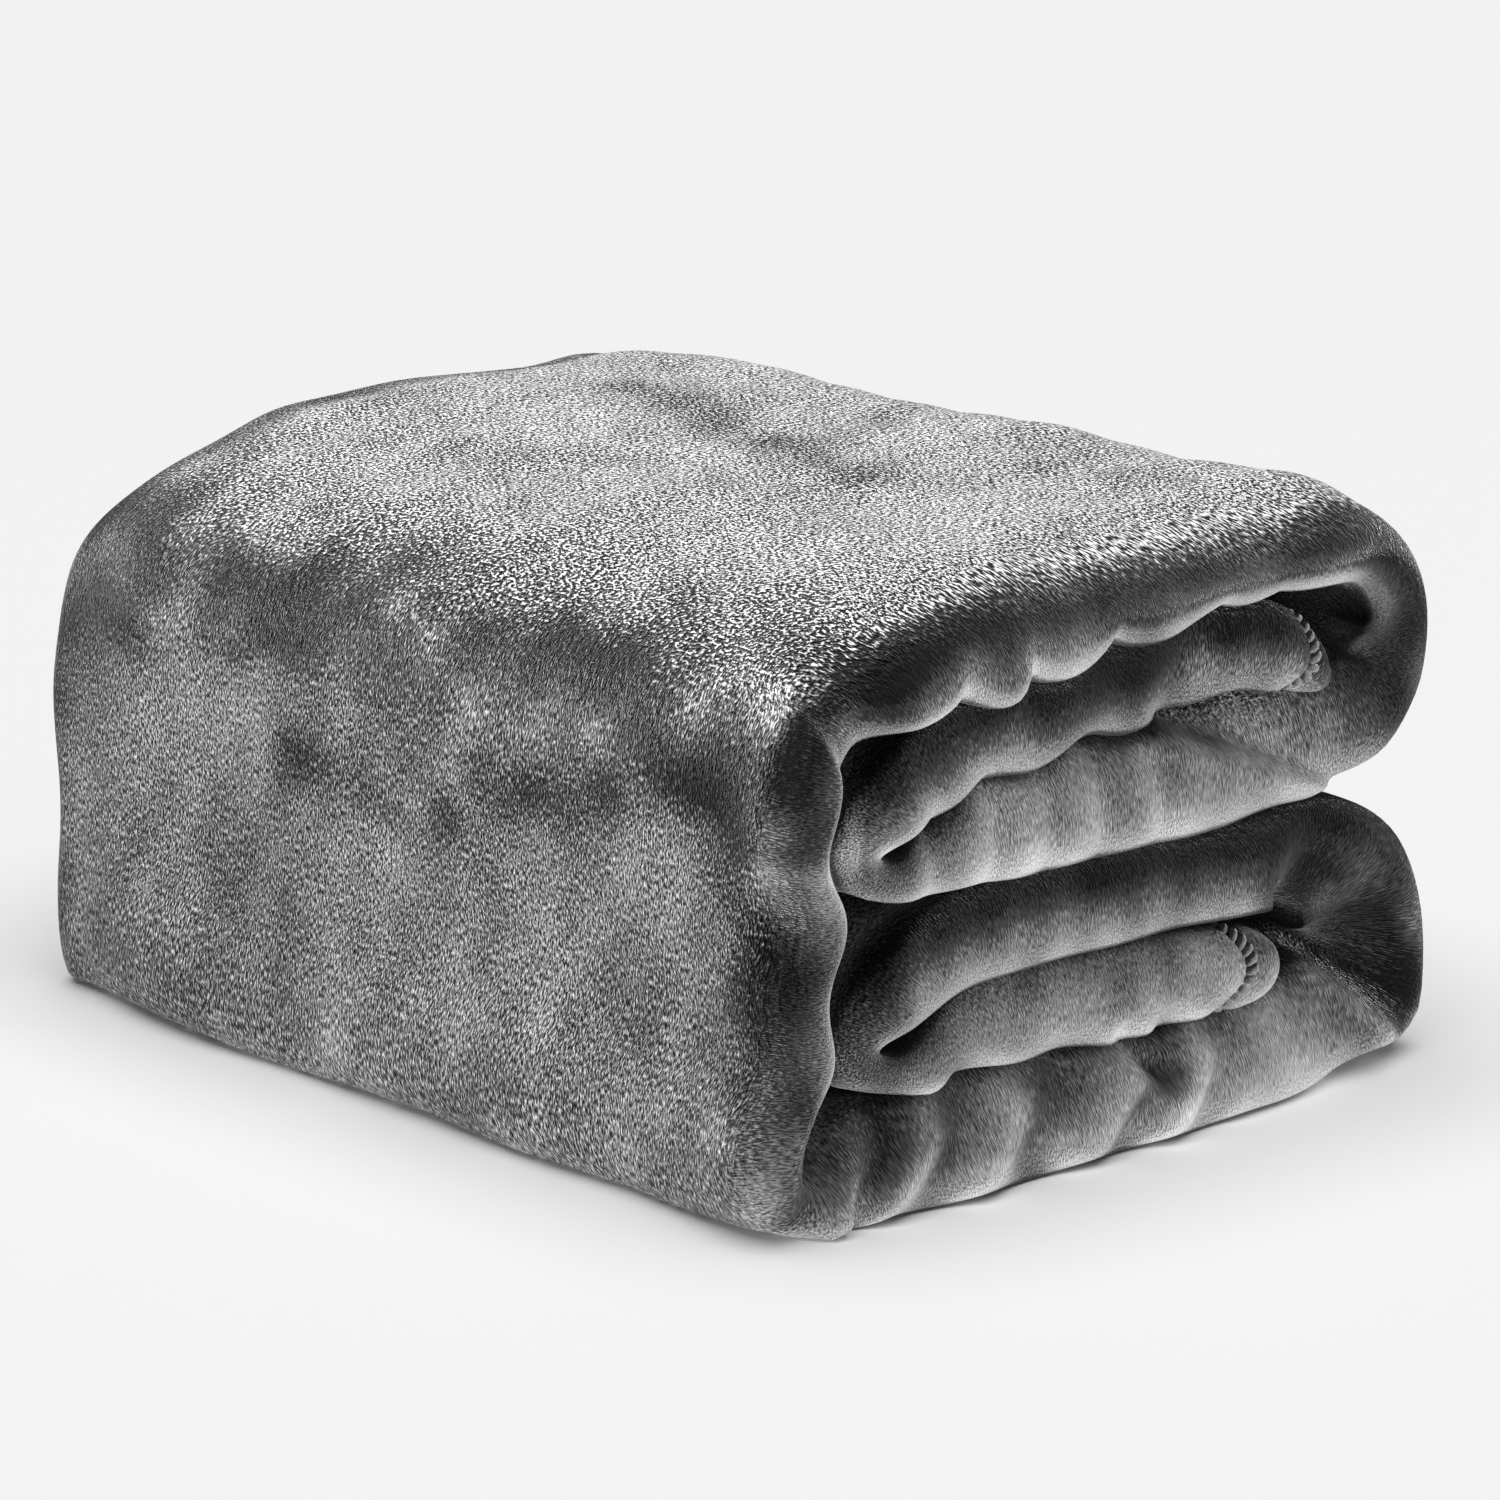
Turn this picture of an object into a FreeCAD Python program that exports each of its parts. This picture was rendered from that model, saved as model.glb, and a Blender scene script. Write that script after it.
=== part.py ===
"""Folded plush throw blanket: one hemmed sheet of double-sided fleece, folded for the shelf.

The sheet was first folded lengthwise into a band of four plies, as wide as the finished pile is long.
The band was then folded in three from each end, and the two bundles were closed on each other like a book.
Seen from the near end (-Y) the band therefore runs: upper hem, tucked panel, inner fold, inner panel, free fold,
top panel, spine, bottom panel, and then the same again in mirror order inside the lower bundle.

Every node is one stretch of that band, cut where it folds, and each is a stack of four plies made as one solid.
Frame: +X from the spine to the free folds, +Y along the pile, +Z up. The origin is the middle of the base.
All sizes are in millimetres.
"""

import FreeCAD
import Part
import math
import os

Vector = FreeCAD.Vector

# Driving dimensions
LENGTH = 348.0  # along Y, which is the width of the four-ply band
WIDTH = 260.0  # along X, from the spine's skin to the free folds
HEIGHT = 172.0  # of the closed pile
LOWER_HEIGHT = 88.0  # top of the lower bundle
OPENING_GAP = 1.0  # between the two bundles
UPPER_BAND = 27.0  # thickness of the four plies in the upper bundle
LOWER_BAND = 28.0  # and in the lower bundle, which bulges more
SPINE_BAND = 14.0  # the plies pulled tight round the spine
AIR = 0.5  # between two stretches of the band that lie on each other
FOOT_RADIUS = 22.0  # of the spine's lower outside corner
SHOULDER_RADIUS = 34.0  # of the spine's upper outside corner
SHOULDER_HEIGHT = 159.0  # where that corner meets the sloping top
CROWN_X = -40.0  # where the sloping top levels out
END_ROUNDING = 0.45  # radius of a band's long edges, as a share of its thickness
WRAP_ROUNDING = 6.0  # radius of the outer panels' end edges
FOLD_SLIT = 0.6  # between the spine and the panels that hinge on it
UPPER_HEM_X = 80.0  # where the upper tucked panel's hem ends
LOWER_HEM_X = 56.0  # where the lower tucked panel's hem ends
HEM_WIDTH = 14.0  # from the hem's edge to the far side of its stitching
STITCH_WIDTH = 3.0  # width of the overlocked row
STITCH_DEPTH = 1.2  # how deep the row sinks into the pile

SPINE_X = -WIDTH / 2
INNER_SPINE_X = SPINE_X + SPINE_BAND
FREE_X = WIDTH / 2
UPPER_BASE = LOWER_HEIGHT + OPENING_GAP

# The inner fold of each bundle turns about a line just inside the spine
UPPER_REACH = AIR / 2 + UPPER_BAND
LOWER_REACH = AIR / 2 + LOWER_BAND
UPPER_TURN = Vector(INNER_SPINE_X + AIR + UPPER_REACH, 0, UPPER_BASE + UPPER_REACH)
LOWER_TURN = Vector(INNER_SPINE_X + AIR + LOWER_REACH, 0, LOWER_HEIGHT - LOWER_REACH)

# The free fold of each bundle is a half circle at the open side
UPPER_FREE_RADIUS = (HEIGHT - UPPER_BASE) / 2
LOWER_FREE_RADIUS = LOWER_HEIGHT / 2
UPPER_FREE_START = FREE_X - UPPER_FREE_RADIUS
LOWER_FREE_START = FREE_X - LOWER_FREE_RADIUS


def band_face(thickness, inset=0.0):
    """The band's section as a face in the YZ plane, its lower side on Z = 0, with rounded long edges."""
    half, low, high = LENGTH / 2 - inset, inset, thickness - inset
    radius = END_ROUNDING * (high - low)
    bend = radius * (1 - math.sqrt(0.5))
    edges, starts, ends = [], [], []
    for y, z, out_y, out_z in [(half, low, 1, -1), (half, high, 1, 1), (-half, high, -1, 1), (-half, low, -1, -1)]:
        beside = Vector(0, y - out_y * radius, z)
        above = Vector(0, y, z - out_z * radius)
        middle = Vector(0, y - out_y * bend, z - out_z * bend)
        first, last = (beside, above) if out_y * out_z < 0 else (above, beside)
        edges.append(Part.Arc(first, middle, last).toShape())
        starts.append(first)
        ends.append(last)
    for here, there in zip(ends, starts[1:] + starts[:1]):
        edges.append(Part.LineSegment(here, there).toShape())
    return Part.Face(Part.Wire(Part.__sortEdges__(edges)))


def panel(start_x, end_x, base_z, thickness, inset=0.0):
    """A flat stretch of the band between two places on X."""
    face = band_face(thickness, inset)
    face.translate(Vector(start_x, 0, base_z))
    return face.extrude(Vector(end_x - start_x, 0, 0))


def turn(centre_x, centre_z, inner_radius, thickness, degrees):
    """The band turning about a line along Y, from straight above it: positive towards +X."""
    face = band_face(thickness)
    face.translate(Vector(centre_x, 0, centre_z + inner_radius))
    return face.revolve(Vector(centre_x, 0, centre_z), Vector(0, 1, 0), degrees)


def hemmed_end(start_x, end_x, base_z, thickness):
    """The tucked panel, its hem with a neck under the stitching, and the stitching round the neck."""
    stitch_x = end_x - HEM_WIDTH
    cloth = panel(start_x, stitch_x, base_z, thickness)
    neck = panel(stitch_x, stitch_x + STITCH_WIDTH, base_z, thickness, STITCH_DEPTH)
    edge = panel(stitch_x + STITCH_WIDTH, end_x, base_z, thickness)
    hem = edge.fuse(neck).removeSplitter().Solids[0]
    ring = panel(stitch_x, stitch_x + STITCH_WIDTH, base_z, thickness).cut(neck).Solids[0]
    return cloth, hem, ring


def point_round(centre, radius, degrees):
    """The point at an angle round a line along Y, counted from +X towards +Z."""
    angle = math.radians(degrees)
    return centre + Vector(radius * math.cos(angle), 0, radius * math.sin(angle))


def outer_wrap():
    """The top panel, the spine and the bottom panel as one solid, before it is slit at the two folds."""
    foot = Vector(SPINE_X + FOOT_RADIUS, 0, FOOT_RADIUS)
    shoulder = Vector(SPINE_X + SHOULDER_RADIUS, 0, SHOULDER_HEIGHT - SHOULDER_RADIUS)
    round_inside = UPPER_REACH + AIR
    corners = [
        Vector(LOWER_FREE_START, 0, 0),
        point_round(foot, FOOT_RADIUS, 270),
        point_round(foot, FOOT_RADIUS, 180),
        point_round(shoulder, SHOULDER_RADIUS, 180),
        point_round(shoulder, SHOULDER_RADIUS, 90),
        Vector(CROWN_X, 0, HEIGHT),
        Vector(UPPER_FREE_START, 0, HEIGHT),
        Vector(UPPER_FREE_START, 0, HEIGHT - UPPER_BAND),
        point_round(UPPER_TURN, round_inside, 90),
        point_round(UPPER_TURN, round_inside, 180),
        Vector(INNER_SPINE_X, 0, LOWER_BAND),
        Vector(LOWER_FREE_START, 0, LOWER_BAND),
    ]
    middles = {
        1: point_round(foot, FOOT_RADIUS, 225),
        3: point_round(shoulder, SHOULDER_RADIUS, 135),
        8: point_round(UPPER_TURN, round_inside, 135),
    }
    edges = []
    for index, (here, there) in enumerate(zip(corners, corners[1:] + corners[:1])):
        if index in middles:
            edges.append(Part.Arc(here, middles[index], there).toShape())
        else:
            edges.append(Part.LineSegment(here, there).toShape())
    face = Part.Face(Part.Wire(edges))
    face.translate(Vector(0, -LENGTH / 2, 0))
    solid = face.extrude(Vector(0, LENGTH, 0))
    rim = [edge for edge in solid.Edges if lies_on_end(edge) and lies_on_skin(edge)]
    return solid.makeFillet(WRAP_ROUNDING, rim).Solids[0]


def lies_on_end(edge):
    """Whether an edge of the outer wrap lies in one of the pile's two end planes."""
    return all(abs(abs(vertex.Y) - LENGTH / 2) < 0.001 for vertex in edge.Vertexes)


def lies_on_skin(edge):
    """Whether an edge of the outer wrap bounds its outside: base, spine or top."""
    centre = edge.CenterOfMass
    beside_spine = centre.x < SPINE_X + SPINE_BAND / 2
    on_foot = centre.x < SPINE_X + FOOT_RADIUS and centre.z < FOOT_RADIUS
    on_shoulder = centre.x < SPINE_X + SHOULDER_RADIUS and centre.z > SHOULDER_HEIGHT - SHOULDER_RADIUS / 2
    on_top = centre.z > HEIGHT - UPPER_BAND / 2 and centre.x < UPPER_FREE_START - 1
    on_slope = centre.z > SHOULDER_HEIGHT and centre.x < CROWN_X
    on_base = centre.z < 0.001
    return beside_spine or on_foot or on_shoulder or on_top or on_slope or on_base


def slit(inner, outer):
    """A thin cutting slab along Y through two points of the wrap's section, a little longer than they are apart."""
    along = (outer - inner).normalize()
    across = Vector(-along.z, 0, along.x) * (FOLD_SLIT / 2)
    ends = [inner - along * SPINE_BAND, outer + along * SPINE_BAND]
    outline = [ends[0] - across, ends[1] - across, ends[1] + across, ends[0] + across]
    shift = Vector(0, -LENGTH, 0)
    face = Part.Face(Part.makePolygon([point + shift for point in outline + outline[:1]]))
    return face.extrude(Vector(0, 2 * LENGTH, 0))


def outer_panels():
    """The three outer panels: the wrap slit through its lower corner and through its shoulder."""
    foot_slit = slit(Vector(INNER_SPINE_X, 0, LOWER_BAND), Vector(SPINE_X, 0, 0))
    shoulder = Vector(SPINE_X + SHOULDER_RADIUS, 0, SHOULDER_HEIGHT - SHOULDER_RADIUS)
    inside = point_round(UPPER_TURN, UPPER_REACH + AIR, 135)
    shoulder_slit = slit(inside, point_round(shoulder, SHOULDER_RADIUS, 135))
    pieces = outer_wrap().cut(foot_slit).cut(shoulder_slit).Solids
    pieces.sort(key=lambda piece: piece.CenterOfMass.z)
    return pieces


def upper_bundle():
    """The stretches inside the upper bundle, which lifts off the lower one."""
    free_z = UPPER_BASE + UPPER_FREE_RADIUS
    hollow = UPPER_FREE_RADIUS - UPPER_BAND
    cloth, hem, stitching = hemmed_end(UPPER_TURN.x, UPPER_HEM_X, UPPER_TURN.z + AIR / 2, UPPER_BAND)
    return {
        "upper_free_fold": turn(UPPER_FREE_START, free_z, hollow, UPPER_BAND, 180),
        "upper_inner_panel": panel(UPPER_TURN.x, UPPER_FREE_START, UPPER_BASE, UPPER_BAND),
        "upper_inner_fold": turn(UPPER_TURN.x, UPPER_TURN.z, AIR / 2, UPPER_BAND, -180),
        "upper_tucked_panel": cloth,
        "upper_end_hem": hem,
        "upper_hem_stitching": stitching,
    }


def lower_bundle():
    """The stretches inside the lower bundle, which lies on the shelf."""
    hollow = LOWER_FREE_RADIUS - LOWER_BAND
    inner_base = LOWER_HEIGHT - LOWER_BAND
    tucked_base = LOWER_TURN.z - LOWER_REACH
    cloth, hem, stitching = hemmed_end(LOWER_TURN.x, LOWER_HEM_X, tucked_base, LOWER_BAND)
    return {
        "lower_free_fold": turn(LOWER_FREE_START, LOWER_FREE_RADIUS, hollow, LOWER_BAND, 180),
        "lower_inner_panel": panel(LOWER_TURN.x, LOWER_FREE_START, inner_base, LOWER_BAND),
        "lower_inner_fold": turn(LOWER_TURN.x, LOWER_TURN.z, AIR / 2, LOWER_BAND, -180),
        "lower_tucked_panel": cloth,
        "lower_end_hem": hem,
        "lower_hem_stitching": stitching,
    }


os.makedirs("parts", exist_ok=True)
nodes = dict(zip(["bottom_panel", "spine_panel", "top_panel"], outer_panels()))
nodes.update(upper_bundle())
nodes.update(lower_bundle())
for name, shape in nodes.items():
    print(name, shape.ShapeType, "valid" if shape.isValid() else "not valid", round(shape.Volume), "mm3")
    shape.exportStep(f"parts/{name}.step")
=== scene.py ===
import math

import bpy
import numpy as np
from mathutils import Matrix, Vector


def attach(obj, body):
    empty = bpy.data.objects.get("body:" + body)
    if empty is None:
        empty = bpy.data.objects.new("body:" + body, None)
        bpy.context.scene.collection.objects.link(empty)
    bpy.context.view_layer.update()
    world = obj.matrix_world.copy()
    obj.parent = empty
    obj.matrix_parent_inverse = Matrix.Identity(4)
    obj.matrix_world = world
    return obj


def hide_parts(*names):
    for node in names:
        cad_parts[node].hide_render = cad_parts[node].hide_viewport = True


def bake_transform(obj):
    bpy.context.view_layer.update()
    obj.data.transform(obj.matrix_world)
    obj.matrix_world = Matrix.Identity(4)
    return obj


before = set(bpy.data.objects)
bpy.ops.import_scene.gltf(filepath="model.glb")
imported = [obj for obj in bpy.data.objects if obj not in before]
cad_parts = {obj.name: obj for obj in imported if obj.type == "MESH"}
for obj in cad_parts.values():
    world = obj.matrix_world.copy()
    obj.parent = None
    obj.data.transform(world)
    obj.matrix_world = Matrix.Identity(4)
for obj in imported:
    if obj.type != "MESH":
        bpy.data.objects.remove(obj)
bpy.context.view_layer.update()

# The folded throw blanket: +X from the spine to the free folds, +Y along the pile, +Z up.
# The cloth is worked out in millimetres and written to the meshes in metres.
# The whole sheet is one grid. Its rows follow the band's route round the pile, from the upper hem to the
# lower hem, and its columns follow the band's four plies, from the hidden side hem to the open one.
MM = 0.001
HALF_LENGTH = 175.0  # from the middle of the pile to the front of its end rolls
ROW_STEP = 2.7  # between rows of the sheet's grid
LOBE_ENDS = (-106, -72, -49, -12, 34, 58, 92)  # along X, of the scallops that hang from the top roll
LOWER_CREASE = ((54, 61), (119, 5))  # from x, z to x, z, in the end of the lower free fold
UPPER_CREASE = ((5, 124), (92, 88))
PLEATS = (-124, -104, -84, -50, -6, 24, 60)  # along X, of the ridges across the bottom panel's end
HEM_WIDTH = 12.0  # from the hem's edge to its stitching
HEM_DRAW = 34.0  # how far from a hem the tongue's end starts to narrow
HEM_BEND = 1.7  # radius of the turned edge
STITCH_PITCH = 2.9
STITCH_HALF_WIDTH = 2.1
STITCH_HEIGHT = 1.5
NEAR_FOLD_UNDERCUT = 5.0  # how deep the near fold's lower side is round
CUT_FROM_MIDDLE = 50  # along X, to the cuts in the top and bottom panels, clear of the bending zones
SPINE_CUT_HEIGHT = 84

# Columns of the grid on each stretch of the plies, from the hidden side hem to the open one
HIDDEN_PLY = 14
INNER_FOLD = 8
INNER_PLY = 30
FAR_FOLD = 14
OUTER_PLY = 108
HALF_NEAR_FOLD = 20
LAST_PLY = 70
TURNED_EDGE = 9
TURNED_HEM = 4
FAR_FOLD_END = HIDDEN_PLY + INNER_FOLD + INNER_PLY + FAR_FOLD
SIDE_SEAM = FAR_FOLD_END + OUTER_PLY + 2 * HALF_NEAR_FOLD + LAST_PLY

# How much painted shade lies on the upper side of each panel's end, by its height in the pile
PANEL_HEIGHTS = (48, 62, 76, 90, 105, 120, 137)
PANEL_PAINTED_SHADE = (0.2, 0.7, 1.15, 0.7, 0.0, 0.5, 1.1)

# The middle of the band at the near end, at each bend: x, z, thickness, how far the end roll stands out,
# and how deep the roll's upper side reaches back into the pile
ROUTE = [
    (84, 124, 17, -4, 8), (70, 133, 23, 0, 10), (42, 138, 26, 0, 12), (0, 137, 26, 0, 12),
    (-45, 133.5, 25, -1, 12), (-70, 129, 28, -1, 11), (-86, 122.5, 28, 0, 9), (-98, 114, 19, 1, 7),
    (-104, 104, 10, 1, 5), (-99, 96.5, 9, 1, 5), (-88, 97, 14, 1, 8), (-74, 100.5, 22, 1, 12),
    (-55, 104.5, 30, 1, 16), (-30, 105.5, 32, 1, 18), (0, 105.5, 33, 1, 18), (45, 106, 32, 1, 18),
    (80, 109, 32, 0, 16), (105, 118, 34, -1, 16), (112.5, 133, 38, -1, 16), (109, 149, 31, 0, 18),
    (92, 160, 22, 1, 24), (62, 161, 19, 3, 30), (20, 161, 19, 3, 32), (-20, 159, 21, 3, 32),
    (-52, 156, 23, 3, 30), (-86, 151.5, 20, 2, 24), (-109, 143, 16, 2, 21), (-121, 129, 14, 3, 20),
    (-123.5, 110, 14, 3, 20), (-123.5, 80, 14, 3, 20), (-124, 50, 14, 3, 20), (-124, 32, 15, 2, 20),
    (-118, 17, 22, 1, 18), (-101, 16.5, 32, 2, 16), (-78, 17.5, 35, 2, 18), (-45, 17.5, 35, 2, 22),
    (0, 17.5, 35, 2, 22), (45, 18, 36, 2, 22), (80, 22, 42, 1, 22), (103, 31, 45, 0, 20),
    (108.5, 46, 45, 0, 16), (104, 60, 41, 0, 16), (84, 72.5, 34, 1, 16), (45, 75.5, 28, 1, 16),
    (0, 76, 28, 1, 16), (-45, 76, 29, 1, 16), (-70, 73, 28, 0, 12), (-86, 67, 27, 0, 10),
    (-98, 59, 19, 1, 7), (-104, 49, 10, 1, 5), (-99, 41, 9, 1, 5), (-88, 41, 13, 1, 8),
    (-74, 44.5, 21, 1, 11), (-55, 48, 26, 1, 14), (-30, 48.5, 27, 1, 14), (5, 48.5, 27, 1, 14),
    (36, 46.5, 27, 1, 13), (56, 43.5, 25, 0, 11),
]


def smooth(low, high, value):
    """0 below low and 1 above high, with a smooth step between."""
    t = np.clip((value - low) / (high - low), 0.0, 1.0)
    return t * t * (3 - 2 * t)


def hill(distance, reach):
    """1 at no distance, falling away smoothly over about twice the reach."""
    return np.exp(-((distance / reach) ** 2))


def waves(points, wavelength, seed, count=7):
    """Smooth, random-looking values around -1 to 1 at an array of points, the same on each run."""
    random = np.random.default_rng(seed)
    total = np.zeros(points.shape[:-1])
    for _ in range(count):
        direction = random.normal(size=points.shape[-1])
        direction /= np.linalg.norm(direction)
        stretch = random.uniform(0.7, 1.5)
        phase = random.uniform(0, 2 * math.pi)
        total += np.sin(points @ direction * (2 * math.pi * stretch / wavelength) + phase)
    return total / math.sqrt(count / 2) / 1.6


def spline(points, step):
    """A centripetal Catmull-Rom curve through points, sampled evenly along its first two columns."""
    points = np.array(points, float)
    points = np.vstack([2 * points[0] - points[1], points, 2 * points[-1] - points[-2]])
    gaps = np.linalg.norm(np.diff(points[:, :2], axis=0), axis=1)
    knots = np.concatenate([[0], np.cumsum(np.sqrt(gaps))])
    fine = []
    for i in range(1, len(points) - 2):
        p0, p1, p2, p3 = points[i - 1 : i + 3]
        t0, t1, t2, t3 = knots[i - 1 : i + 3]
        t = np.linspace(t1, t2, 40, endpoint=False)[:, None]
        a1 = (t1 - t) / (t1 - t0) * p0 + (t - t0) / (t1 - t0) * p1
        a2 = (t2 - t) / (t2 - t1) * p1 + (t - t1) / (t2 - t1) * p2
        a3 = (t3 - t) / (t3 - t2) * p2 + (t - t2) / (t3 - t2) * p3
        b1 = (t2 - t) / (t2 - t0) * a1 + (t - t0) / (t2 - t0) * a2
        b2 = (t3 - t) / (t3 - t1) * a2 + (t - t1) / (t3 - t1) * a3
        fine.append((t2 - t) / (t2 - t1) * b1 + (t - t1) / (t2 - t1) * b2)
    fine = np.vstack(fine + [points[-2:-1]])
    along = np.concatenate([[0], np.cumsum(np.linalg.norm(np.diff(fine[:, :2], axis=0), axis=1))])
    even = np.linspace(0, along[-1], int(round(along[-1] / step)) + 1)
    return even, np.stack([np.interp(even, along, column) for column in fine.T], axis=1)


def softened(values, passes):
    """A row of numbers with its small kinks smoothed away; the ends stay."""
    values = values.copy()
    for _ in range(passes):
        values[1:-1] = (values[:-2] + 2 * values[1:-1] + values[2:]) / 4
    return values


class Band:
    """The band's route at the near end: middle, direction, normal and thickness at each row."""

    def __init__(self):
        self.s, samples = spline(ROUTE, ROW_STEP)
        self.x = softened(samples[:, 0], 8)
        self.z = softened(samples[:, 1], 8)
        self.thick = softened(samples[:, 2], 25)
        self.reach = softened(samples[:, 3], 25)
        self.roll = softened(samples[:, 4], 25)
        tx, tz = np.gradient(self.x), np.gradient(self.z)
        size = np.hypot(tx, tz)
        self.tx, self.tz = tx / size, tz / size
        self.nx, self.nz = self.tz, -self.tx

    def place(self, y, n):
        """Points in the pile, for the y and the offset along the band's normal at each row and column."""
        x = self.x[:, None] + self.nx[:, None] * n
        z = self.z[:, None] + self.nz[:, None] * n
        return np.stack([x, y, z], axis=-1)


def along_route(band, wavelength, seed):
    """Smooth, random-looking values at each row, as one column."""
    return waves(np.stack([band.s, 0 * band.s], axis=1), wavelength, seed)[:, None]


def profile(band):
    """The four plies across the band: y and n for each row and column."""
    half = HALF_LENGTH
    thick = band.thick[:, None]
    up = band.nz[:, None]
    reach = band.reach[:, None]
    roll = band.roll[:, None]
    side = np.abs(band.nx)[:, None]
    lip = np.clip(thick * 0.30, 4.0, 8.0)
    # where along n the near fold stands furthest out, and how far back each of its sides is round
    front = -np.clip(up + 0.6 * side, -1, 1) * (thick / 2 - lip)
    under = NEAR_FOLD_UNDERCUT
    round_plus = under + (roll - under) * np.hypot(np.maximum(up, 0), side)
    round_minus = under + (roll - under) * np.maximum(-up, 0)
    near = -half - reach - 1.2 * along_route(band, 60, 11)
    parts = []

    def add(y, n):
        parts.append(np.broadcast_arrays(y, n))

    def steps(count, power=1.0):
        return (np.linspace(0, 1, count + 1)[None, :-1]) ** power

    def sweep(end, count):
        return np.linspace(0, end, count + 1)[None, :-1]

    ply = thick / 6
    inner_near = near + roll + 4 + 0 * thick
    t = steps(HIDDEN_PLY)
    add(10 + (inner_near - 10) * t, -ply + 0 * t)
    a = sweep(math.pi, INNER_FOLD)
    add(inner_near - ply * np.sin(a), -ply * np.cos(a))
    far = half - thick * 0.3 + 1.5 * along_route(band, 90, 12)
    t = steps(INNER_PLY)
    sink = smooth(0.75, 1.0, t)
    add(inner_near + (far - inner_near) * t, ply - sink * thick * 0.24)
    a = sweep(math.pi, FAR_FOLD)
    fold = thick * 0.285
    add(far + thick * 0.3 * np.sin(a), thick / 2 - fold - fold * np.cos(a))
    t = 1 - (1 - steps(OUTER_PLY)) ** 1.45
    near_plus = near + round_plus
    add(far + (near_plus - far) * t, thick / 2 + 0 * t)
    a = sweep(math.pi / 2, HALF_NEAR_FOLD)
    add(near + round_plus * (1 - np.sin(a)), front + (thick / 2 - front) * np.cos(a))
    add(near + round_minus * (1 - np.cos(a)), front - (thick / 2 + front) * np.sin(a))
    near_minus = near + round_minus
    hem_far = half - 5 + 2 * along_route(band, 120, 13)
    t = steps(LAST_PLY, 1.45)
    add(near_minus + (hem_far - near_minus) * t, -thick / 2 + 0 * t)
    a = np.linspace(0, math.pi, TURNED_EDGE)[None, :]
    add(hem_far + HEM_BEND * np.sin(a), -thick / 2 + HEM_BEND * (1 - np.cos(a)))
    t = np.linspace(0.2, 1, TURNED_HEM)[None, :]
    add(hem_far - HEM_WIDTH * t, -thick / 2 + 2 * HEM_BEND + 0 * t)
    y = np.concatenate([part[0] for part in parts], axis=1)
    n = np.concatenate([part[1] for part in parts], axis=1)
    return y, n


def rounded_ends(band, points, n):
    """The hems draw back beside the near fold, so that the band's two ends are round tongues."""
    level = np.abs(n) / (band.thick[:, None] / 2)
    run = np.stack([band.tx, 0 * band.tx, band.tz], axis=-1)[:, None, :]
    into = smooth(HEM_DRAW, 0, band.s) - smooth(HEM_DRAW, 0, band.s[-1] - band.s)
    return points + run * (9 * level**2 * into[:, None])[..., None]


def turned_edges(points):
    """The hem at each end of the route: rows that go round the edge and back under the cloth."""
    across = np.gradient(points, axis=1)
    ends = []
    for edge, inside in ((0, 2), (-1, -3)):
        out = points[edge] - points[inside]
        out /= np.linalg.norm(out, axis=-1, keepdims=True)
        run = across[edge] / np.linalg.norm(across[edge], axis=-1, keepdims=True)
        under = np.cross(out, run)
        if edge == -1:
            under = -under
        # the side hem is turned already, so the end hem's corner turns with the ply beside it
        turned = TURNED_EDGE + TURNED_HEM
        under[-turned:] = under[-turned - 1]
        rows = []
        for angle in np.linspace(0, math.pi, 8)[1:]:
            rows.append(points[edge] + HEM_BEND * (out * math.sin(angle) + under * (1 - math.cos(angle))))
        for back in np.linspace(0, HEM_WIDTH, 5)[1:]:
            rows.append(points[edge] - out * back + under * 2 * HEM_BEND)
        ends.append(np.stack(rows))
    return np.concatenate([ends[0][::-1], points, ends[1]]), len(ends[0])


def segment_distance(x, z, start, end):
    """Distance from a line between two (x, z) points, its signed side, and the share along it."""
    dx, dz = end[0] - start[0], end[1] - start[1]
    length = math.hypot(dx, dz)
    along = ((x - start[0]) * dx + (z - start[1]) * dz) / length
    side = ((x - start[0]) * dz - (z - start[1]) * dx) / length
    clamped = np.clip(along, 0, length)
    return np.hypot(along - clamped, side), side, along / length


def stitched_groove(points, normals, row, out):
    """The cloth dips under a row of stitches and swells between them and the hem's edge."""
    for offset, height in ((-1, -0.9), (0, -1.8), (1, -0.8), (2, 0.5), (3, 0.6)):
        points[row + offset * out] += height * normals[row]


def pleats(x, z):
    """Ridges across the bottom panel's end, which sweep towards the spine at the floor.

    Gives an angle that makes a whole turn from each ridge to the next, and the ridges' strength.
    """
    turn = 2 * math.pi * np.interp(x + 16 * smooth(26, 0, z), PLEATS, np.arange(len(PLEATS)))
    return turn, smooth(44, 34, z) * smooth(-130, -120, x) * smooth(56, 24, x)


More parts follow.
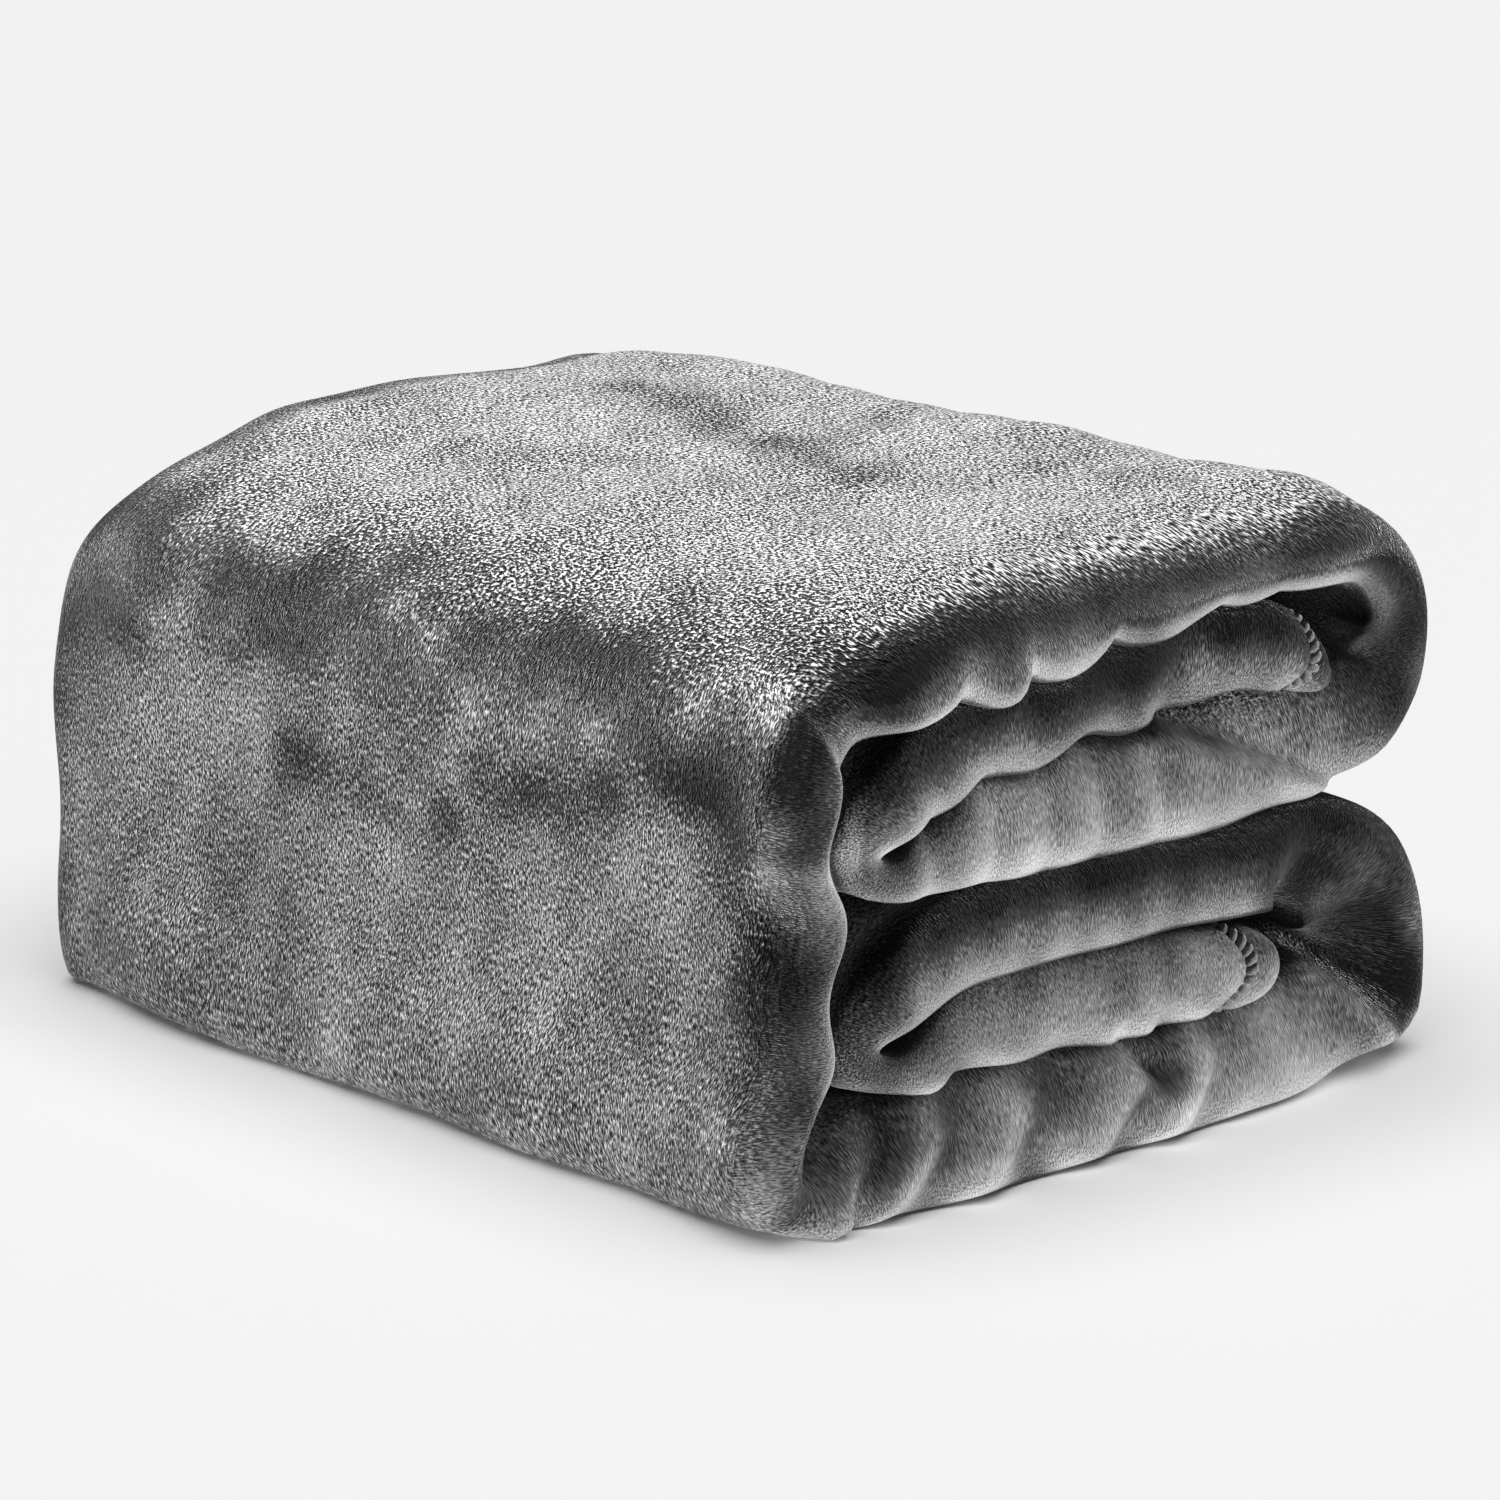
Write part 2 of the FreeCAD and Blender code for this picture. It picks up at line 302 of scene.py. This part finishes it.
def end_relief(x, z):
    """How far the near end's surface stands back, in +Y, at a place in the end face."""
    back = 3 * smooth(112, 136, x) ** 2 + 5 * smooth(-112, -134, x)
    # the noses of the inner folds lie behind the spine's end
    back += 8 * smooth(-88, -106, x) * smooth(-120, -112, x) * smooth(10, 30, z)
    # the free folds' ends sink in beside a slanting crease
    for (start, end), depth in ((LOWER_CREASE, 14), (UPPER_CREASE, 7)):
        _, side, along = segment_distance(x, z, start, end)
        inside = smooth(0, 6, -side) * smooth(-0.1, 0.15, along) * smooth(1.15, 0.85, along)
        kept = smooth(118, 98, x) * smooth(6, 26, z)
        back += depth * inside * smooth(44, 14, -side) * kept
        back -= 3.0 * hill(side - 3, 4) * smooth(-0.1, 0.15, along) * smooth(1.0, 0.7, along)
    # a deep crease runs down the bottom panel's end from the lower tongue
    away, _, _ = segment_distance(x, z, (-10, 38), (9, 22))
    back += 7.0 * hill(away, 3.8) - 4.5 * hill(away, 10)
    turn, strength = pleats(x, z)
    back -= 3.2 * np.cos(turn) * strength * smooth(0, 6, z)
    pleat = np.abs(np.sin(math.pi * (x + 0.35 * z + 5 * np.sin(z / 11)) / 22))
    back -= 3.4 * (pleat - 0.6) * smooth(86, 95, z) * smooth(126, 114, z) * smooth(50, 0, x)
    return back


def crown_and_shoulder(x, y, z):
    """The crown is higher behind the near end's rolls, and the shoulder is rounder towards the far end."""
    middle = smooth(-176, -128, y) * (1 - 0.75 * smooth(138, 178, y))
    lift = (4 + 2.5 * smooth(-110, 20, x)) * middle * smooth(70, 168, z)
    slump = 8 * smooth(60, 176, y) * smooth(-30, -124, x) * smooth(88, 164, z)
    return 0.55 * slump, 0 * y, lift - 0.9 * slump


def foot_and_free_folds(x, y, z):
    """The weight of the pile presses the foot and the lower free fold out along the floor."""
    foot = smooth(-92, -128, x)
    free = smooth(88, 126, x)
    held_back = 1 - 0.7 * smooth(110, 170, y)
    out = (10 * free - 9 * foot * held_back) * smooth(70, 12, z)
    out += 4 * free * smooth(100, 120, z) + 5 * free * hill(z - 13, 13)
    return out, 0 * y, 0 * z


def pressed_down(x, z):
    """How far the weight of the pile presses the foot and the lower free fold down."""
    foot_and_free = 9 * smooth(-92, -128, x) + 7 * smooth(88, 126, x)
    return foot_and_free * smooth(40, 8, z) + 4 * smooth(104, 128, x) * smooth(34, 10, z)


def near_end(x, y, z):
    """The near end's relief, the spine's wandering end roll and the scallops that hang from the top roll."""
    back = end_relief(x, z) * smooth(-120, -165, y)
    edge = smooth(-104, -114, x) * smooth(-140, -172, y)
    out = edge * (3.2 * np.sin(z / 6.5 + 0.6) + 3.0 * np.sin(z / 14 + 2.0))
    lip = hill(z - 149, 9) * smooth(-140, -168, y) * smooth(-112, -98, x) * smooth(112, 96, x)
    lobe = np.interp(x, LOBE_ENDS, np.arange(len(LOBE_ENDS)))
    scallop = np.abs(np.sin(math.pi * lobe)) ** 0.7 * smooth(110, -60, x)
    back -= lip * (5.0 * scallop - 2.5)
    lift = -lip * (7.0 * scallop - 3.0)
    # the upper tongue's lip waves a little too
    lip = hill(z - 123, 7) * smooth(-150, -170, y) * smooth(-92, -75, x) * smooth(70, 45, x)
    lift -= lip * (1.5 * np.cos(2 * math.pi * (x + 80) / 38) + 0.8 * np.sin(x / 9))
    return out, back, lift


def far_end(x, y, z):
    """The far end's corners draw back."""
    far = smooth(120, 176, y)
    back = -far * (10 * smooth(-100, -134, x) ** 2 + 6 * smooth(100, 134, x) ** 2)
    back -= far * 9 * smooth(135, 178, z) * smooth(0, -120, x)
    return 0 * x, back, 0 * z


def warp(points):
    """The slack of a pile folded by hand: the same smooth moves for everything in the space."""
    x, y, z = np.moveaxis(points, -1, 0)
    moved = points.copy()
    for move in (crown_and_shoulder, foot_and_free_folds, near_end, far_end):
        moved += np.stack(move(x, y, z), axis=-1)
    # soft unevenness everywhere, but none where the pile rests on the floor
    held = smooth(0, 12, z)
    uneven = (
        1.1 * waves(moved, 95, 1) * held,
        1.2 * waves(moved, 80, 2),
        held * (1.3 * waves(moved, 105, 3) + 0.5 * waves(moved, 42, 4)),
    )
    moved += np.stack(uneven, axis=-1)
    # the floor stops what is pressed down, with a soft bend
    height = moved[..., 2] - pressed_down(x, z) - 0.9
    moved[..., 2] = (height + np.sqrt(height**2 + 4)) / 2
    return moved


def vertex_normals(points):
    """Unit normals of the grid."""
    normal = np.cross(np.gradient(points, axis=0), np.gradient(points, axis=1))
    size = np.linalg.norm(normal, axis=-1, keepdims=True)
    return normal / np.maximum(size, 1e-9)


def grid_faces(rows, columns):
    """The quads of a grid of points."""
    index = np.arange(rows * columns).reshape(rows, columns)
    return np.stack([index[:-1, :-1], index[1:, :-1], index[1:, 1:], index[:-1, 1:]], axis=-1).reshape(-1, 4)


def make_mesh(name, points, faces, material):
    """A smooth mesh object from millimetres."""
    mesh = bpy.data.meshes.new(name)
    mesh.from_pydata((points.reshape(-1, 3) * MM).tolist(), [], faces.tolist())
    mesh.materials.append(material)
    mesh.polygons.foreach_set("use_smooth", [True] * len(mesh.polygons))
    piece = bpy.data.objects.new(name, mesh)
    bpy.context.collection.objects.link(piece)
    return piece


class Nodes:
    """Short calls for a material's node tree."""

    def __init__(self, material):
        material.use_nodes = True
        self.tree = material.node_tree
        self.shader = self.tree.nodes["Principled BSDF"]

    def add(self, kind, **settings):
        node = self.tree.nodes.new(kind)
        for key, value in settings.items():
            setattr(node, key, value)
        return node

    def link(self, source, target):
        self.tree.links.new(source, target)

    def math(self, operation, first, second):
        node = self.add("ShaderNodeMath", operation=operation)
        for socket, value in zip(node.inputs, (first, second)):
            if isinstance(value, (int, float)):
                socket.default_value = value
            else:
                self.link(value, socket)
        return node.outputs[0]

    def mark(self, name):
        """A number stored at each point of the mesh."""
        return self.add("ShaderNodeAttribute", attribute_name=name).outputs["Fac"]

    def noise(self, vector, scale, detail, roughness=0.5):
        node = self.add("ShaderNodeTexNoise")
        node.inputs["Scale"].default_value = scale
        node.inputs["Detail"].default_value = detail
        node.inputs["Roughness"].default_value = roughness
        self.link(vector, node.inputs["Vector"])
        return node.outputs["Fac"]

    def wander(self, vector, scale, amount):
        """The same texture coordinates, pulled about so that strokes bend."""
        noise = self.add("ShaderNodeTexNoise")
        noise.inputs["Scale"].default_value = scale
        noise.inputs["Detail"].default_value = 1
        self.link(vector, noise.inputs["Vector"])
        pulled = self.add("ShaderNodeVectorMath", operation="MULTIPLY_ADD")
        self.link(noise.outputs["Color"], pulled.inputs[0])
        pulled.inputs[1].default_value = (amount, amount, 0)
        self.link(vector, pulled.inputs[2])
        return pulled.outputs[0]

    def scaled(self, vector, scale):
        node = self.add("ShaderNodeMapping")
        node.inputs["Scale"].default_value = scale
        self.link(vector, node.inputs["Vector"])
        return node.outputs["Vector"]

    def ramp(self, value, stops):
        node = self.add("ShaderNodeValToRGB")
        while len(node.color_ramp.elements) < len(stops):
            node.color_ramp.elements.new(0.5)
        for element, (position, grey) in zip(node.color_ramp.elements, stops):
            element.position = position
            element.color = (grey, grey, grey * 1.015, 1)
        self.link(value, node.inputs["Fac"])
        return node.outputs["Color"]

    def mixed(self, first, second, share):
        """first where share is 0, second where it is 1."""
        change = self.math("MULTIPLY", self.math("SUBTRACT", second, first), share)
        return self.math("ADD", first, change)

    def bump(self, height, distance, strength):
        node = self.add("ShaderNodeBump")
        node.inputs["Distance"].default_value = distance
        node.inputs["Strength"].default_value = strength
        self.link(height, node.inputs["Height"])
        return node.outputs["Normal"]


def plush_material():
    """Grey plush: fine tufts lying in strokes, patches of nap tone with painted shade and painted highlights
    from a mark, and the sheen of a short nap.
    """
    material = bpy.data.materials.new("plush")
    nodes = Nodes(material)
    cloth = nodes.add("ShaderNodeUVMap", uv_map="cloth").outputs["UV"]
    # the first mark holds the nap's own tone together with painted shade and painted highlights
    nap_tone_and_painted_light, nap, fold, crown = (nodes.mark(name) for name in ("nap_tone_and_painted_light", "nap", "fold", "crown"))
    stroked = nodes.wander(cloth, 17, 0.010)
    lengthwise = nodes.noise(nodes.scaled(stroked, (1750, 640, 1)), 1.0, 1, 0.6)
    round_the_fold = nodes.noise(nodes.scaled(stroked, (640, 2300, 1)), 1.0, 1, 0.6)
    crosswise = nodes.noise(nodes.scaled(stroked, (700, 1180, 1)), 1.0, 1, 0.6)
    tufts = nodes.mixed(nodes.mixed(lengthwise, round_the_fold, fold), crosswise, crown)
    clumps = nodes.noise(nodes.scaled(stroked, (520, 300, 1)), 1.0, 2, 0.5)
    height = nodes.math("ADD", tufts, nodes.math("MULTIPLY", clumps, 0.8))
    tone = nodes.math("ADD", nodes.math("MULTIPLY", tufts, 0.84), nodes.math("MULTIPLY", clumps, 0.16))
    contrast = nodes.math("ADD", nodes.math("MULTIPLY", nap, 2.4), 0.1)
    tone = nodes.math("MULTIPLY", nodes.math("SUBTRACT", tone, 0.5), contrast)
    tone = nodes.math("ADD", nodes.math("ADD", tone, 0.5), nodes.math("MULTIPLY", nap_tone_and_painted_light, 0.11))
    color = nodes.ramp(tone, [(0.30, 0.003), (0.44, 0.045), (0.56, 0.22), (0.73, 0.54)])
    nodes.link(color, nodes.shader.inputs["Base Color"])
    height = nodes.math("MULTIPLY", height, nodes.math("MINIMUM", nap, 0.6))
    nodes.link(nodes.bump(height, 0.0045, 1.0), nodes.shader.inputs["Normal"])
    nodes.shader.inputs["Roughness"].default_value = 0.9
    nodes.shader.inputs["Diffuse Roughness"].default_value = 0.3
    nodes.shader.inputs["Specular IOR Level"].default_value = 0.05
    nodes.shader.inputs["Sheen Weight"].default_value = 0.22
    nodes.shader.inputs["Sheen Roughness"].default_value = 0.33
    nodes.shader.inputs["Sheen Tint"].default_value = (1, 1, 1, 1)
    return material


def thread_material():
    """Twisted matt grey thread."""
    material = bpy.data.materials.new("stitching")
    nodes = Nodes(material)
    place = nodes.add("ShaderNodeTexCoord").outputs["Object"]
    twist = nodes.noise(nodes.scaled(place, (900, 900, 900)), 1.0, 2)
    nodes.link(nodes.ramp(twist, [(0.3, 0.03), (0.7, 0.13)]), nodes.shader.inputs["Base Color"])
    nodes.link(nodes.bump(twist, 0.0004, 0.6), nodes.shader.inputs["Normal"])
    nodes.shader.inputs["Roughness"].default_value = 0.85
    nodes.shader.inputs["Sheen Weight"].default_value = 0.4
    return material


def streak(points, start, end, width):
    """1 on a straight line between two points, fading away over about the width."""
    start, end = np.array(start, float), np.array(end, float)
    run = end - start
    along = np.clip(((points - start) @ run) / (run @ run), 0, 1)
    away = np.linalg.norm(points - start - along[..., None] * run, axis=-1)
    return hill(away, width)


def nap_tone_and_painted_shade(points):
    """Random tone of the nap and its darker patches, with painted shade along the shoulder, down the spine's
    end corner, in the mouths of the free folds and over the far end; from about -1, dark, to 1, light.
    """
    shade = 0.20 * waves(points, 150, 21) + 0.22 * waves(points, 55, 22) + 0.22 * waves(points, 22, 23)
    ragged = 1 + 0.5 * waves(points, 30, 24)
    strokes = [
        # painted shade along the shoulder and down the spine's end corner, and darker patches of nap on the
        # spine's face
        ((-128, 150, 128), (-131, 60, 140), 16, 1.1), ((-131, 60, 140), (-129, -80, 150), 15, 1.3),
        ((-129, -80, 150), (-134, -165, 122), 14, 1.0), ((-131, 45, 97), (-131, -25, 91), 9, 0.7),
        ((-131, -45, 107), (-131, -95, 114), 11, 0.6), ((-131, -120, 122), (-131, -138, 112), 10, 0.8),
        ((-130, -152, 105), (-130, -158, 45), 10, 0.8),
        # across the crown
        ((44, 90, 176), (8, -50, 176), 13, 1.0), ((38, -9, 177), (74, 4, 177), 10, 0.6),
        ((-50, 70, 172), (-20, 20, 175), 12, 0.5), ((60, -80, 177), (70, -110, 177), 12, 0.5),
        # painted shade inside the mouths of the free folds, under the top roll's front and on the upper
        # tongue
        ((98, -164, 146), (114, -164, 118), 17, 1.3), ((68, -164, 62), (104, -164, 32), 18, 1.7),
        ((-110, -178, 158), (96, -178, 168), 8, 0.5), ((-95, -172, 126), (40, -172, 146), 8, 0.5),
        # painted shade over the far end and along the left side of the crown
        ((-90, 165, 160), (90, 165, 168), 40, 0.5), ((-108, 140, 150), (-104, -150, 158), 22, 0.8),
    ]
    for start, end, width, depth in strokes:
        shade = shade - 1.5 * depth * ragged * streak(points, start, end, width)
    return shade


def painted_crease_shade(points):
    """The lower free fold's slanting crease: a painted highlight as a rim below it, and painted shade above
    it.
    """
    _, side, along = segment_distance(points[..., 0], points[..., 2], *LOWER_CREASE)
    mouth = smooth(-150, -166, points[..., 1]) * smooth(0.1, 0.3, along) * smooth(1.05, 0.9, along)
    return mouth * (0.9 * hill(side - 3, 3.5) - 1.5 * smooth(0.5, 3, -side) * smooth(30, 8, -side))


def crown_share(points):
    """1 on the top of the pile, 0 on its sides."""
    return smooth(132, 164, points[..., 2]) * smooth(-178, -168, points[..., 1])


def raised_nap(points):
    """How much the tufts stand up: most on the crown, least where a fold's end is stretched."""
    between_ends = smooth(174, 150, np.abs(points[..., 1]))
    calmer = 0.8 * smooth(60, 112, points[..., 0]) + 0.35 * smooth(-60, 120, points[..., 1])
    return 0.14 + 0.40 * between_ends + np.maximum(0.95 - calmer, 0.15) * between_ends * crown_share(points)


class Sheet:
    """The whole cloth as one grid of points, with its texture coordinates and shade."""

    def __init__(self):
        self.band = Band()
        y, n = profile(self.band)
        flat, self.hem_rows = turned_edges(rounded_ends(self.band, self.band.place(y, n), n))
        self.points = warp(flat)
        self.normals = vertex_normals(self.points)
        hem = int(round(HEM_WIDTH / ROW_STEP))
        self.upper_seam = self.hem_rows + hem
        self.lower_seam = len(self.points) - 1 - self.hem_rows - hem
        stitched_groove(self.points, self.normals, self.upper_seam, -1)
        stitched_groove(self.points, self.normals, self.lower_seam, 1)
        self.normals = vertex_normals(self.points)
        fold = smooth(-152, -168, self.points[..., 1])
        self.marks = {
            "nap_tone_and_painted_light": self.shade(flat, n, fold),
            "nap": raised_nap(self.points),
            "fold": fold,
            "crown": crown_share(self.points),
        }
        column_run = np.linalg.norm(np.diff(self.points, axis=1), axis=-1).mean(axis=0)
        row_run = np.linalg.norm(np.diff(self.points, axis=0), axis=-1).mean(axis=1)
        self.u = np.concatenate([[0], np.cumsum(column_run)]) * MM
        self.v = np.concatenate([[0], np.cumsum(row_run)]) * MM

    def shade(self, flat, n, fold):
        """The nap's tone with painted shade and painted highlights at each point, from about -2 to 1."""
        x, y, _ = np.moveaxis(self.points, -1, 0)
        crown = crown_share(self.points)
        shade = nap_tone_and_painted_shade(self.points) + painted_crease_shade(self.points) + fold * self.painted_fold_shade(n)
        # a painted highlight on the crown, fading towards its left side
        shade += (0.35 - 0.30 * smooth(20, -80, x)) * crown
        # painted shade: the far end is darker
        shade -= 0.75 * smooth(140, 166, y)
        # painted highlight just left of each pleat's ridge and painted shade right of it
        turn, strength = pleats(flat[..., 0], flat[..., 2])
        return shade + 0.75 * np.cos(turn + 0.7) * strength * fold

    def painted_fold_shade(self, n):
        """Painted shade on the upper side of a fold's end, where the roll above overhangs it, and a painted
        highlight on its lip.
        """
        band = self.band
        side = np.abs(band.nx)[:, None]
        outer = np.clip(band.nz[:, None] + 0.6 * side, -1, 1) * n / (band.thick[:, None] / 2)
        lip = smooth(-0.1, -0.6, outer)
        dark = np.interp(band.z, PANEL_HEIGHTS, PANEL_PAINTED_SHADE)[:, None]
        top_roll = smooth(140, 155, band.z)[:, None]
        # painted shade on the upper side, by the panel's height, and painted highlights on the lip, most on
        # the top roll and the spine's end
        shade = -1.5 * dark * smooth(-0.2, 0.7, outer) - 1.2 * smooth(0.7, 1.0, outer)
        shade += (0.5 + 0.6 * top_roll + 0.8 * side**6) * lip + 0.15 * smooth(-0.5, -0.8, outer)
        # panels with little painted shade are painted lighter overall, the darkest ones darker still
        shade += 0.5 * smooth(0.25, 0, dark) - 1.6 * np.maximum(dark - 0.9, 0)
        # the gap below the lip is in shadow
        shade -= 2.0 * smooth(-0.82, -1.0, outer)
        edge = (self.hem_rows, self.hem_rows)
        return np.pad(shade, (edge, (0, 0)), mode="edge")

    def piece(self, name, first, last, material, threads):
        """The rows from first to last as a mesh object."""
        points = self.points[first : last + 1]
        piece = make_mesh(name, points, grid_faces(*points.shape[:2]), material)
        mesh = piece.data
        corner = np.empty(len(mesh.loops), int)
        mesh.loops.foreach_get("vertex_index", corner)
        u, v = np.meshgrid(self.u, self.v[first : last + 1])
        uv = np.stack([u.ravel()[corner], v.ravel()[corner]], axis=1)
        mesh.uv_layers.new(name="cloth").data.foreach_set("uv", uv.ravel())
        for mark, values in self.marks.items():
            attribute = mesh.attributes.new(mark, "FLOAT", "POINT")
            attribute.data.foreach_set("value", values[first : last + 1].ravel().astype(np.float32))
        mesh.normals_split_custom_set_from_vertices(self.normals[first : last + 1].reshape(-1, 3))
        return piece

    def hem_thread(self, name, row, material):
        """The stitches of an end hem, over the outer plies and round the near fold."""
        columns = slice(FAR_FOLD_END + 1, SIDE_SEAM + 2)
        return stitch_row(name, self.points[row, columns], self.normals[row, columns], material)

    def side_thread(self, name, first, last, material):
        """The stitches of the open side hem, from the first row to the last."""
        rows = slice(max(first, self.upper_seam), min(last, self.lower_seam) + 1)
        line = self.points[rows, SIDE_SEAM - 1 : SIDE_SEAM + 1].mean(axis=1)
        return stitch_row(name, line, self.normals[rows, SIDE_SEAM], material)


def stitch_row(name, line, normals, material):
    """A row of thick stitches across a line of points on the cloth."""
    gaps = np.linalg.norm(np.diff(line, axis=0), axis=1)
    along = np.concatenate([[0], np.cumsum(gaps)])
    at = np.arange(STITCH_PITCH / 2, along[-1], STITCH_PITCH)
    middle, up, ahead = (
        np.stack([np.interp(at, along, column) for column in values.T], axis=1)
        for values in (line, normals, np.gradient(line, axis=0))
    )
    up /= np.linalg.norm(up, axis=1, keepdims=True)
    side = np.cross(ahead, up)
    side /= np.linalg.norm(side, axis=1, keepdims=True)
    ahead = np.cross(up, side)
    random = np.random.default_rng(len(name))
    points, faces = [], []
    ring = np.linspace(0, 2 * math.pi, 8, endpoint=False)
    arch = np.linspace(-0.15, math.pi + 0.15, 7)
    for o, n, s, t in zip(middle, up, side, ahead):
        fat = random.uniform(0.85, 1.1)
        slant = random.uniform(0.35, 0.8)
        start = len(points)
        for a in arch:
            centre = o + (s * STITCH_HALF_WIDTH + t * slant) * math.cos(a) + n * STITCH_HEIGHT * math.sin(a)
            out = s * math.cos(a) + n * math.sin(a)
            thick = fat * (0.75 + 0.55 * math.sin(max(a, 0)))
            points.extend(centre + thick * (out * math.cos(r) + t * 1.1 * math.sin(r)) for r in ring)
        for i in range(len(arch) - 1):
            for j in range(len(ring)):
                k, m = start + i * len(ring), (j + 1) % len(ring)
                faces.append((k + j, k + m, k + len(ring) + m, k + len(ring) + j))
    piece = make_mesh(name, np.array(points), np.array(faces), material)
    return piece


def first_row(sheet, start, test):
    """The first row of the sheet's grid, from start on, whose place on the band's route passes a test."""
    for row in range(start - sheet.hem_rows, len(sheet.band.s)):
        if test(sheet.band.x[row], sheet.band.z[row]):
            return row + sheet.hem_rows


def build_cloth():
    """The sheet cut into four pieces clear of the bending zones, with the stitching that rides on each."""
    sheet = Sheet()
    plush = plush_material()
    last = len(sheet.v) - 1
    on_top = first_row(sheet, sheet.hem_rows, lambda x, z: z > 156 and x < 60)
    shoulder = first_row(sheet, on_top, lambda x, z: x < -CUT_FROM_MIDDLE)
    spine = first_row(sheet, shoulder, lambda x, z: z < SPINE_CUT_HEIGHT)
    foot = first_row(sheet, spine, lambda x, z: x > -CUT_FROM_MIDDLE)
    thread = thread_material()
    upper_hem = sheet.hem_thread("upper_hem_thread", sheet.upper_seam, thread)
    lower_hem = sheet.hem_thread("lower_hem_thread", sheet.lower_seam, thread)
    cuts = (0, shoulder, spine, foot, last)
    names = ("upper_bundle", "shoulder", "foot", "lower_bundle")
    stretches = list(zip(names, cuts[:-1], cuts[1:]))
    sides = [sheet.side_thread(name + "_side_thread", *rows, thread) for name, *rows in stretches]
    carried = ([upper_hem, sides[0]], [sides[1]], [sides[2]], [sides[3], lower_hem])
    cloths = [sheet.piece(name, *rows, plush, threads) for (name, *rows), threads in zip(stretches, carried)]
    upper, high_spine, low_spine, lower = cloths
    for piece in (upper, *carried[0]):
        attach(piece, "upper_half")
    for piece in (lower, *carried[3]):
        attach(piece, "lower_half")
    for piece in (high_spine, *carried[1]):
        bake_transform(piece)
    for piece in (low_spine, *carried[2]):
        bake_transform(piece)
    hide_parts("upper_free_fold", "upper_inner_panel", "upper_inner_fold",
                "upper_tucked_panel", "upper_end_hem", "top_panel")
    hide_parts("lower_free_fold", "lower_inner_panel", "lower_inner_fold",
                "lower_tucked_panel", "lower_end_hem", "bottom_panel")
    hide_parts("upper_hem_stitching")
    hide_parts("lower_hem_stitching")
    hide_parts("spine_panel")
    return cloths + [upper_hem, lower_hem] + sides


def stage():
    """A wide, plain pale floor."""
    mesh = bpy.data.meshes.new("floor")
    mesh.from_pydata([(-6, -6, 0), (6, -6, 0), (6, 6, 0), (-6, 6, 0)], [], [(0, 1, 2, 3)])
    floor = bpy.data.objects.new("floor", mesh)
    bpy.context.collection.objects.link(floor)
    material = bpy.data.materials.new("floor")
    nodes = Nodes(material)
    nodes.shader.inputs["Base Color"].default_value = (0.92, 0.92, 0.92, 1)
    nodes.shader.inputs["Roughness"].default_value = 0.9
    mesh.materials.append(material)
    return floor


def sun(name, towards, strength, softness, lit):
    """A far studio light that shines the way it is told on what is in one collection only."""
    data = bpy.data.lights.new(name, "SUN")
    data.energy = strength
    data.angle = math.radians(softness)
    light = bpy.data.objects.new(name, data)
    light.rotation_euler = Vector(towards).to_track_quat("-Z", "Y").to_euler()
    bpy.context.collection.objects.link(light)
    light.light_linking.receiver_collection = lit
    return light


def lights(cloth, floor):
    """Soft light from above, from the left behind, and from low in front, and an even one for the floor."""
    sun("top", (-0.10, -0.20, -0.97), 10.8, 10, cloth)
    sun("left", (0.80, -0.58, -0.05), 8.5, 15, cloth)
    low = sun("low", (-0.42, 0.80, 0.38), 6.0, 18, cloth)
    low.light_linking.blocker_collection = cloth
    sun("floor", (0.1, 0.1, -1), 2.7, 70, floor)
    world = bpy.data.worlds.new("studio")
    world.use_nodes = True
    background = world.node_tree.nodes["Background"]
    background.inputs["Color"].default_value = (1, 1, 1, 1)
    background.inputs["Strength"].default_value = 0.14
    bpy.context.scene.world = world
    bpy.context.scene.view_settings.view_transform = "Standard"


def light_group(name, *pieces):
    """A collection of the objects that the same lights shine on."""
    group = bpy.data.collections.new(name)
    bpy.context.scene.collection.children.link(group)
    for piece in pieces:
        group.objects.link(piece)
    return group


def camera():
    """A long lens off the near end's left corner, looking down by about 15 degrees."""
    data = bpy.data.cameras.new("camera")
    data.lens = 144
    data.sensor_width = 36
    view = bpy.data.objects.new("camera", data)
    view.location = (-1.1813, -1.3051, 0.5423)
    view.rotation_euler = (math.radians(75.41), 0, math.radians(-42.38))
    bpy.context.collection.objects.link(view)
    bpy.context.scene.camera = view


cloth_group = light_group("cloth", *build_cloth())
floor_group = light_group("ground", stage())
lights(cloth_group, floor_group)
camera()
